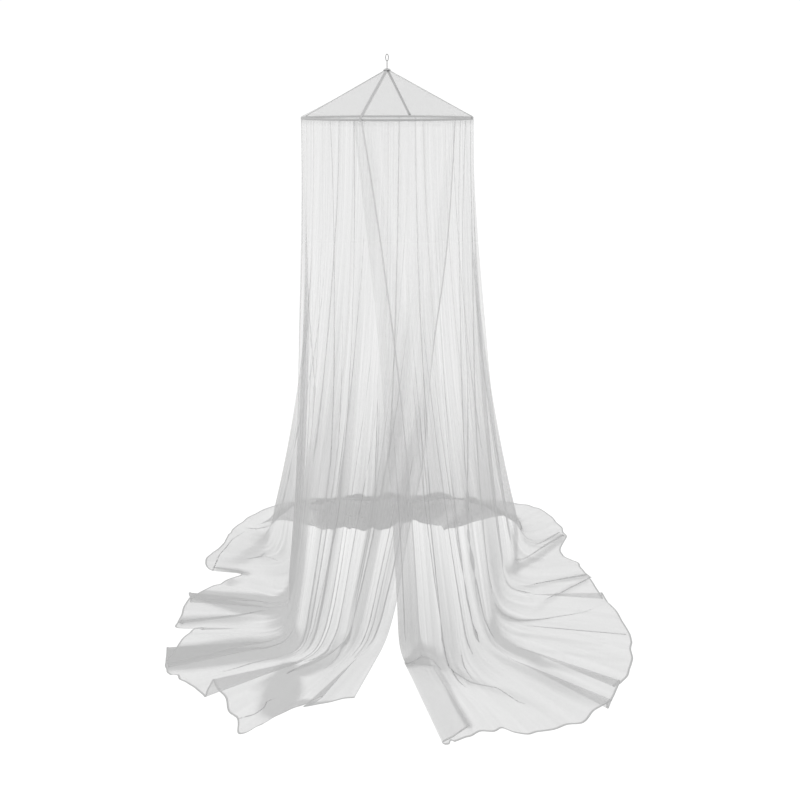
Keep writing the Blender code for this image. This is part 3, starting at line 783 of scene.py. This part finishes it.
def doubled(distance, width):
    """The cloth's slide, lift and edge lines at a distance from a crease's middle; the edge lines take
    painted shade.

    With q the distance over three quarters of the width, the cloth slides by minus
    3 q exp(-q squared), so it turns back and goes on again in three layers, and it
    rises by q exp(-q squared) to keep the layers apart.
    """
    q = distance / (0.75 * width)
    bell = q * np.exp(-q * q)
    present = np.minimum(width / 0.004, 1)
    edge = present * np.exp(-(((abs(q) - 0.53) / 0.22) ** 2))
    return -3 * 0.75 * width * bell, bell, edge


def crease_moves(hoop_deg, way, side_length, creases):
    """How far the creases carry the cloth sideways and out, and where their edges are, which take painted
    shade.
    """
    slide, out, edge = np.zeros((3, *side_length.shape))
    rows = np.arange(len(way))
    for line in creases:
        deg, width = down_line(line, way)
        width = width * (way >= line[0][1]) + 1e-5
        middle = column_at(deg, hoop_deg)
        left = np.minimum(middle.astype(int), len(hoop_deg) - 2)
        at = blend(side_length[left, rows], side_length[left + 1, rows], middle - left)
        moved, rise, line_edge_shade = doubled(side_length - at, width)
        slide += moved
        out += np.minimum(0.35 * width, 0.006) * rise
        edge = np.maximum(edge, line_edge_shade)
    return slide, out, edge


# Creases of the net that lies on the floor. A point has its place from the canopy's
# axis, x to the right and y to the back, and the crease's width, all in millimetres.
FLOOR_CREASES = in_metres({
    "knot": (
        (360, -250, 0), (420, -285, 18), (500, -305, 14), (600, -300, 6), (790, -255, 6), (880, -200, 6),
    ),
    "right corner fold": (
        (400, -120, 0), (470, -30, 8), (600, 140, 9), (710, 280, 12), (800, 370, 14),
    ),
    "fold above it": ((620, 220, 0), (700, 310, 8), (790, 400, 10)),
    "right hem fold": ((500, -90, 0), (620, -40, 6), (740, 0, 9), (860, 35, 14)),
    "fold across it": ((550, -250, 0), (680, -140, 7), (860, 10, 9)),
    "right ray": ((470, -330, 0), (660, -360, 8), (900, -400, 8)),
    "first hook": ((540, 580, 0), (530, 460, 8), (535, 320, 10), (560, 230, 0)),
    "second hook": ((600, 600, 0), (620, 480, 8), (615, 380, 12), (550, 260, 9), (500, 220, 0)),
    "third hook": ((560, 250, 0), (640, 280, 8), (730, 310, 0)),
    "flap bend": ((20, -595, 0), (65, -580, 16), (120, -575, 16), (165, -595, 10), (200, -635, 0)),
    "flap ridge": (
        (190, -587, 0), (250, -645, 7), (302, -683, 7), (384, -711, 5), (446, -783, 4), (518, -818, 0),
    ),
    "right panel": ((200, -360, 0), (235, -470, 5), (275, -610, 6), (310, -680, 0)),
    "crumpled patch": ((-600, 40, 0), (-660, 60, 12), (-760, 90, 8)),
    "left stroke": ((-550, 240, 0), (-575, 190, 6), (-610, 170, 5), (-680, 150, 0)),
    "right of it": ((-573, 196, 0), (-521, 158, 6), (-477, 114, 0)),
    "left back fold": ((-500, 400, 0), (-570, 420, 10), (-660, 440, 6), (-720, 460, 0)),
    "beside the left hem": ((-770, 60, 6), (-765, 200, 6), (-735, 340, 6), (-670, 440, 0)),
    "between the left bands": ((-460, -220, 0), (-600, -275, 10), (-800, -315, 16)),
    "below the left band": ((-340, -510, 0), (-500, -580, 5), (-660, -680, 0)),
    "front left fold": (
        (-120, -470, 0), (-170, -510, 12), (-280, -575, 18), (-340, -620, 8), (-400, -660, 0),
    ),
    "hem, front left": (
        (-497, -868, 4), (-439, -846, 5), (-412, -813, 5), (-408, -783, 5), (-368, -756, 0),
    ),
}, (1000, 1000, 1000))


def beside_line(x, y, line):
    """The signed distance to a bent line, its side direction, and its other columns.

    The nearest of its straight parts counts at each place.
    """
    nearest = np.full(x.shape, np.inf)
    signed = np.zeros(x.shape)
    side = np.zeros(x.shape + (2,))
    values = np.zeros(x.shape + (len(line[0]) - 2,))
    for start, end in zip(line, line[1:]):
        run = end[:2] - start[:2]
        length = np.hypot(*run)
        share = np.clip(((x - start[0]) * run[0] + (y - start[1]) * run[1]) / length**2, 0, 1)
        off_x = x - start[0] - share * run[0]
        off_y = y - start[1] - share * run[1]
        reach = np.hypot(off_x, off_y)
        closer = reach < nearest
        nearest[closer] = reach[closer]
        turn = np.sign(run[0] * off_y - run[1] * off_x)
        signed[closer] = (reach * turn)[closer]
        side[closer] = (-run[1] / length, run[0] / length)
        values[closer] = blend(start[2:], end[2:], share[closer][:, None])
    return signed, side, values


def fold_on_floor(surface, creases):
    """Doubles the net that lies low along each crease, and tells where its edges are, which take painted
    shade.
    """
    moved = surface.copy()
    edge = np.zeros(surface.shape[:2])
    low = 1 - ease((surface[..., 2] - 0.02) / 0.05)
    for line in creases.values():
        distance, side, width = beside_line(surface[..., 0], surface[..., 1], line)
        width = width[..., 0] * low + 1e-5
        slide, rise, lines = doubled(distance, width)
        moved[..., :2] += side * slide[..., None]
        near = np.exp(-((distance / (1.5 * width)) ** 2))
        moved[..., 2] += np.minimum(0.25 * width, 0.004) * (rise + 0.43) * near
        edge = np.maximum(edge, lines)
    return moved, edge


def uneven(turn, down, turn_size, down_size, seed):
    """Chance values from -1 to 1 at knots, eased between them: columns by rows."""
    u = (turn - turn.min()) / turn_size
    v = (down - down.min()) / down_size
    table = np.random.default_rng(seed).uniform(-1, 1, (int(u.max()) + 2, int(v.max()) + 2))
    u, v = u[:, None], v[None, :]
    i, j = u.astype(int), v.astype(int)
    s, t = ease(u - i), ease(v - j)
    near = blend(table[i, j], table[i + 1, j], s)
    far = blend(table[i, j + 1], table[i + 1, j + 1], s)
    return blend(near, far, t)


def chance_layers(hoop_deg, way, layers):
    """Sum of layers of chance values: size round the hoop and down, strength and seed."""
    return sum(strength * uneven(hoop_deg, way, deg, down, seed)
               for deg, down, strength, seed in layers)


HEAP_CRUMPLE = 0.012
HEAP_SPREAD = 0.040
HEAP_LUMPS = ((5.0, 0.09, 1.0, 11), (2.2, 0.05, 0.5, 12))
HEAP_REACHES = ((9.0, 0.30, 1.0, 13), (3.5, 0.15, 0.4, 14))
HEM_WANDER = 0.009
HEM_WANDER_DEG = 2.6
COLUMNS_A_ROW = 34
SEAM_OFFSETS = np.array([-0.02, -0.01, 0.01, 0.02])
HEM_ALONG = np.array([0.0030, 0.0036, 0.0000, -0.0034])
HEM_UP = np.array([0.0003, 0.0013, 0.0018, 0.0016])
FLOOR_SOFTNESS = 0.0012

seam_rows = [int(np.argmin(abs(FOLDS[:, 0] - deg))) for deg in SEAMS_DEG]
row_step = np.arange(LAST_ROW * COLUMNS_A_ROW + 1) / COLUMNS_A_ROW
beside_seams = (np.array(seam_rows)[:, None] + SEAM_OFFSETS).ravel()
beside_seams = beside_seams[(beside_seams > 0) & (beside_seams < LAST_ROW)]
row_step = np.union1d(np.round(row_step, 6), np.round(beside_seams, 6))
rows = np.minimum(row_step.astype(int), LAST_ROW - 1)
span_share = row_step - rows
hoop_deg = across(rows, span_share, "hoop_deg")
heap_share = across(rows, span_share, "heap")
way = np.concatenate([np.linspace(0, 1, WALL_ROWS)[:-1], np.linspace(1, 2, FLOOR_ROWS)])

# The heap is lumpy up and down and reaches out unevenly, and the hem wanders a little.
surface = pleat(skirt_grid(rows, span_share))
in_heap = heap_share[:, None] * ease((way - 0.97) / 0.15) * ease((2.0 - way) / 0.10)
outward = unit(surface[..., :2])
hem_share = ease((way - 1.5) / 0.5)
wander = HEM_WANDER * uneven(hoop_deg, way, HEM_WANDER_DEG, 1.0, 15) * hem_share
spread = HEAP_SPREAD * in_heap * chance_layers(hoop_deg, way, HEAP_REACHES)
surface[..., :2] += outward * (spread + wander)[..., None]
surface[..., 2] += HEAP_CRUMPLE * in_heap * chance_layers(hoop_deg, way, HEAP_LUMPS)

# The creases carry the cloth sideways and out, and the hem rolls up at its edge.
side_length = cloth_lengths(surface, 0)
all_creases = [*WALL_CREASES.values(), *fine_creases()]
slide, out, crease_edge_shade = crease_moves(hoop_deg, way, side_length, all_creases)
sideways = unit(np.gradient(surface, axis=0))
downwards = unit(np.gradient(surface, axis=1))
outwards = unit(np.cross(sideways, downwards))
surface = surface + sideways * slide[..., None] + outwards * out[..., None]
surface, floor_crease_shade = fold_on_floor(surface, FLOOR_CREASES)
crease_edge_shade = np.maximum(crease_edge_shade, floor_crease_shade)

hem_along = unit(surface[:, -1] - surface[:, -3])[:, None] * HEM_ALONG[None, :, None]
hem_roll = surface[:, -1:] + hem_along + np.array([0, 0, 1]) * HEM_UP[None, :, None]
surface = np.concatenate([surface, hem_roll], axis=1)
over = (surface[..., 2] - SHEET_REST) / FLOOR_SOFTNESS
surface[..., 2] = SHEET_REST + FLOOR_SOFTNESS * np.logaddexp(0, over) + FLOOR_Z

# How much of the net's surface its threads cover. It is more where the net is gathered
# into the casing and where it bunches near the floor, and it is streaked, because the
# net falls in fine uneven pleats.
COVER_WAYS = (0.0, 0.004, 0.012, 0.35, 0.60, 0.85, 1.00, 1.10, 1.40, 2.00)
COVERS = (0.42, 0.27, 0.230, 0.215, 0.24, 0.40, 0.54, 0.56, 0.50, 0.50)
HEAP_COVER_DEGS = (-240, -233, -220, -217, -212, -209, -204, -200, -157, -151, -142, -132)
HEAP_COVERS = (0.34, 0.44, 0.50, 0.78, 0.78, 0.50, 0.52, 0.95, 0.95, 0.55, 0.38, 0.35)
STREAKS = (
    (0.45, 0.45, 0.20, 21), (1.1, 0.40, 0.15, 22), (2.6, 0.50, 0.08, 23), (7.0, 0.60, 0.04, 24),
)
FLOOR_STREAK = 0.40
# Painted shade along the creases' edges, as a share of the cover added there.
CREASE_EDGE_SHADE = 0.15
FOLD_SMOOTHS = 0.45
FOLD_SMOOTHS_DEGS = (-281, 2)
HEM_COVER = 0.92
# Half the width of a seam and of a front selvedge, the blur of its edge, and its cover.
SEAM = (0.0018, 0.0018, 0.40)
SELVEDGE = (0.0050, 0.0020, 0.65)

# Where the two front edges overlap, each hangs smoother and covers less: the hoop angle
# where the overlap begins on the left and on the right panel, by the way down.
OVERLAP_WAYS = (0.0, 0.53, 0.72)
OVERLAP_LEFT_DEGS = (-14, 33, 52)
OVERLAP_RIGHT_DEGS = (-311, -357, -377)
OVERLAP_SMOOTHS = (0.46, 0.44, 0.18)
OVERLAP_EASE_DEG = 5

# Soft bands where many small pleats hang close together. Each runs down through points
# as the creases do, with half its width in degrees of the hoop and the percent of cover
# that it adds.
BUNCHES = in_metres({
    "left": (
        (-80, 0, 5, 4), (-64, 35, 10, 12), (-56, 60, 12, 8), (-48, 78, 14, 36), (-45, 90, 15, 75),
        (-46, 102, 15, 75), (-56, 112, 13, 55), (-64, 130, 12, 0),
    ),
    "front left 1": ((-30, 25, 2.5, 0), (-21, 65, 3, 14), (-18, 110, 3.5, 22), (-17, 130, 3, 0)),
    "front left 2": (
        (-16, 10, 3, 2), (-11, 45, 4, 14), (-11, 70, 4, 32), (-11, 95, 4.5, 16), (-11, 140, 5, 0),
    ),
    "front left, middle": (
        (26, 10, 5, 0), (24, 53, 6, 20), (20, 72, 7, 42), (19, 90, 8, 18), (20, 115, 9, 6),
        (20, 135, 8, 0),
    ),
    "left selvedge": ((41, 45, 3, 0), (39, 65, 4, 32), (37, 90, 5, 12), (33, 115, 6, 4), (32, 135, 6, 0)),
    "right hook": (
        (-252, 88, 2, 0), (-257, 96, 2.5, 35), (-264, 104, 3, 40), (-270, 112, 3, 25), (-272, 120, 3, 0),
    ),
    "right selvedge": ((-368, 30, 4, 0), (-365, 75, 5, 8), (-364, 115, 6, 0)),
    "front right cloth": ((-352, 50, 13, 0), (-352, 85, 14, 14), (-351, 110, 14, 14), (-350, 145, 14, 0)),
    "front right": ((-346, 30, 3, 0), (-343, 80, 4, 10), (-342, 120, 4, 10), (-341, 140, 4, 0)),
    "long line, right": (
        (-310, 25, 3, 0), (-318, 60, 3, 18), (-326, 88, 5, 20), (-324, 110, 5, 14), (-322, 130, 4, 0),
    ),
    "right": (
        (-290, 5, 9, 2), (-295, 40, 13, 10), (-298, 70, 15, 18), (-302, 95, 15, 22), (-304, 112, 12, 10),
        (-304, 125, 10, 0),
    ),
    "back right": ((-204, 30, 4, 0), (-203, 80, 6, 14), (-203, 102, 7, 0)),
    "back, middle": ((-184, 25, 4, 0), (-182, 80, 6, 16), (-181, 102, 7, 0)),
    "right side, back": ((-246, 20, 7, 0), (-243, 80, 9, 12), (-243, 105, 9, 0)),
    "back left": ((-150, 20, 5, 0), (-150, 80, 8, 12), (-150, 102, 9, 0)),
    "left side, back": ((-118, 20, 6, 0), (-117, 80, 8, 8), (-117, 105, 8, 0)),
    "right heap, top": ((-226, 98, 5, 0), (-224, 110, 8, 40), (-224, 130, 8, 40), (-224, 138, 8, 0)),
}, (1, 100, 1, 100))

# Soft bands on the floor, where gathered folds lie on each other: each point's place
# as for the floor creases, half the band's width, and the percent of cover it adds.
FLOOR_BANDS = in_metres({
    "first left band": (
        (-388, 0, 30, 30), (-394, -110, 35, 60), (-425, -172, 45, 85), (-476, -210, 52, 90),
        (-573, -205, 52, 85), (-685, -175, 36, 70), (-800, -135, 20, 50),
    ),
    "below it": ((-495, -271, 30, 10), (-591, -300, 34, 25), (-696, -300, 30, 35), (-800, -310, 30, 40)),
    "second left band": (
        (-312, -375, 20, 20), (-344, -442, 42, 70), (-398, -484, 52, 92), (-461, -500, 55, 95),
        (-586, -522, 58, 95), (-708, -548, 54, 92), (-810, -560, 48, 85),
    ),
    "into it": ((-330, -300, 20, 10), (-340, -380, 30, 30), (-360, -450, 30, 35)),
    "front left fold": (
        (-170, -505, 18, 15), (-223, -567, 28, 40), (-287, -616, 30, 52), (-341, -636, 30, 60),
        (-398, -664, 28, 50), (-452, -711, 20, 15),
    ),
    "front left clump": ((-355, -620, 40, 80), (-362, -720, 60, 95), (-365, -800, 58, 95)),
    "beside the clump": (
        (-332, -800, 20, 60), (-268, -800, 17, 60), (-192, -790, 13, 50), (-128, -775, 8, 20),
    ),
    "front left cloth": ((-100, -520, 60, 6), (-170, -620, 70, 8), (-220, -720, 60, 6)),
    "small left pool": ((-460, 220, 80, 5), (-600, 280, 140, 8), (-760, 220, 100, 5)),
    "across that pool": (
        (-461, 431, 30, 20), (-510, 364, 45, 30), (-567, 315, 50, 30), (-619, 235, 50, 26),
        (-660, 158, 45, 22), (-724, 129, 40, 10),
    ),
    "crumpled patch": ((-617, 42, 20, 25), (-672, 56, 28, 50), (-740, 80, 22, 30)),
    "beside the patch": ((-700, 20, 20, 10), (-669, -30, 28, 28), (-640, -20, 20, 10)),
    "left stroke": ((-530, 200, 14, 10), (-575, 195, 22, 32), (-620, 170, 20, 10)),
    "flap bend": (
        (15, -595, 12, 35), (65, -578, 20, 65), (120, -573, 20, 65), (165, -590, 16, 40),
        (200, -625, 14, 20),
    ),
    "flap, right edge": (
        (170, -600, 10, 25), (205, -680, 11, 30), (235, -800, 12, 34), (270, -900, 13, 40),
    ),
    "flap ridge": (
        (200, -600, 16, 20), (300, -675, 20, 16), (420, -745, 20, 12), (520, -820, 18, 3),
    ),
    "knot": ((405, -290, 16, 40), (468, -303, 18, 60), (543, -308, 10, 30), (655, -289, 6, 5)),
    "first right band": (
        (385, -375, 28, 30), (410, -440, 34, 50), (459, -485, 32, 60), (517, -536, 30, 60),
        (558, -585, 26, 40), (620, -612, 22, 18), (700, -635, 24, 12), (840, -700, 20, 10),
    ),
    "second right band": (
        (370, -474, 20, 10), (415, -536, 30, 16), (476, -607, 36, 20), (549, -660, 45, 24),
        (612, -716, 45, 24), (660, -765, 36, 16), (750, -820, 24, 8),
    ),
    "right rays": ((420, -385, 12, 0), (510, -400, 14, 12), (630, -430, 14, 10), (800, -465, 14, 6)),
    "lower right rays": ((500, -484, 10, 0), (620, -511, 12, 8), (850, -562, 12, 6)),
    "right corner fold": (
        (411, -134, 14, 20), (470, -55, 16, 32), (566, 70, 16, 32), (658, 173, 18, 30), (790, 330, 20, 32),
    ),
    "above that fold": ((610, 120, 10, 0), (700, 235, 18, 18), (790, 340, 24, 30)),
    "below the right corner": ((600, 266, 10, 0), (687, 315, 18, 12), (800, 370, 22, 28)),
    "right hem fold": (
        (500, -95, 10, 0), (584, -68, 14, 16), (700, -21, 18, 20), (840, 20, 20, 28),
    ),
    "fold across it": ((563, -265, 10, 0), (636, -197, 14, 14), (722, -108, 16, 16), (830, -20, 18, 22)),
    "right ankle": ((440, -100, 20, 6), (400, -280, 26, 20), (380, -420, 24, 24)),
    "back right hooks": ((600, 520, 30, 20), (600, 400, 30, 30), (575, 300, 30, 30), (550, 200, 30, 20)),
}, (1000, 1000, 1000, 100))


def bunch_cover(hoop_deg, way):
    """The cover that the soft bands add: a flat-topped bell across each band."""
    added = np.zeros((len(hoop_deg), len(way)))
    for line in BUNCHES.values():
        middle, half, cover = down_line(line, way)
        bell = np.exp(-(abs((hoop_deg[:, None] - middle) / (half + 0.01)) ** 3))
        added = np.maximum(added, bell * cover * (way >= line[0][1]))
    return added


def overlap_cover(hoop_deg, way):
    """1, lowered where the front edges lie over each other."""
    columns = (OVERLAP_LEFT_DEGS, OVERLAP_RIGHT_DEGS, OVERLAP_SMOOTHS)
    left, right, smooth = (np.interp(way, OVERLAP_WAYS, column) for column in columns)
    deg = hoop_deg[:, None]
    return 1 - smooth * ease(np.maximum(deg - left, right - deg) / OVERLAP_EASE_DEG)


def band_cover(surface):
    """The cover that the soft bands on the floor add, with uneven edges."""
    low = 1 - ease((surface[..., 2] - FLOOR_Z - 0.04) / 0.06)
    added = np.zeros(surface.shape[:2])
    for line in FLOOR_BANDS.values():
        distance, _, values = beside_line(surface[..., 0], surface[..., 1], line)
        bell = np.exp(-(abs(distance / values[..., 0]) ** 3))
        added = np.maximum(added, bell * values[..., 1])
    return added * low


cover = np.broadcast_to(np.interp(way, COVER_WAYS, COVERS), side_length.shape)
before_turn = (fold(rows + 1, "level_out") == 1) * ease((span_share - 0.72) / 0.20)
after_turn = (fold(rows, "level_out") == 2) * (1 - ease((span_share - 0.08) / 0.20))
layered = np.maximum.reduce([before_turn, fold(rows, "level_out") == 1, after_turn])
in_fold = (layered * past(hoop_deg, FOLD_SMOOTHS_DEGS))[:, None] * ease((way - 1.05) / 0.40)
cover = cover * (1 - FOLD_SMOOTHS * in_fold)
heap_cover = np.interp(hoop_deg, HEAP_COVER_DEGS, HEAP_COVERS)[:, None]
cover = blend(cover, heap_cover, in_heap * ease((way - 1.06) / 0.14))
streak = chance_layers(hoop_deg, way, STREAKS) * blend(1.0, FLOOR_STREAK, ease((way - 1.15) / 0.30))
cover = cover * overlap_cover(hoop_deg, way) + bunch_cover(hoop_deg, way)
cover = cover * (1 + streak) + band_cover(surface[:, : len(way)])
# Painted shade: the net is made denser, so darker, along the edges of each crease, partly also for threads
# bunched where it folds.
cover = cover * (1 + CREASE_EDGE_SHADE * crease_edge_shade)
seam_columns = [int(np.argmin(abs(row_step - row))) for row in seam_rows]
seam_looks = [SELVEDGE, *[SEAM] * (len(seam_columns) - 2), SELVEDGE]
for column, (half, soft, seam_cover) in zip(seam_columns, seam_looks):
    from_seam = abs(side_length - side_length[column])
    cover = np.maximum(cover, seam_cover * (1 - ease((from_seam - half) / soft)))
cover = np.concatenate([cover, np.full((len(cover), len(HEM_ALONG)), HEM_COVER)], axis=1)
cover[:, -len(HEM_ALONG) - 1] = HEM_COVER
cover = np.clip(cover, 0.02, 0.96)

net = net_material("white net", NET_COLOUR)
for number, (first, last) in enumerate(zip(seam_columns, seam_columns[1:]), start=1):
    part = slice(first, last + 1)
    panel = cloth_grid(f"net_panel_{number}", surface[part], net)
    make_sheer(panel, cover[part])
    place_piece(panel, f"skirt_panel_{number}")
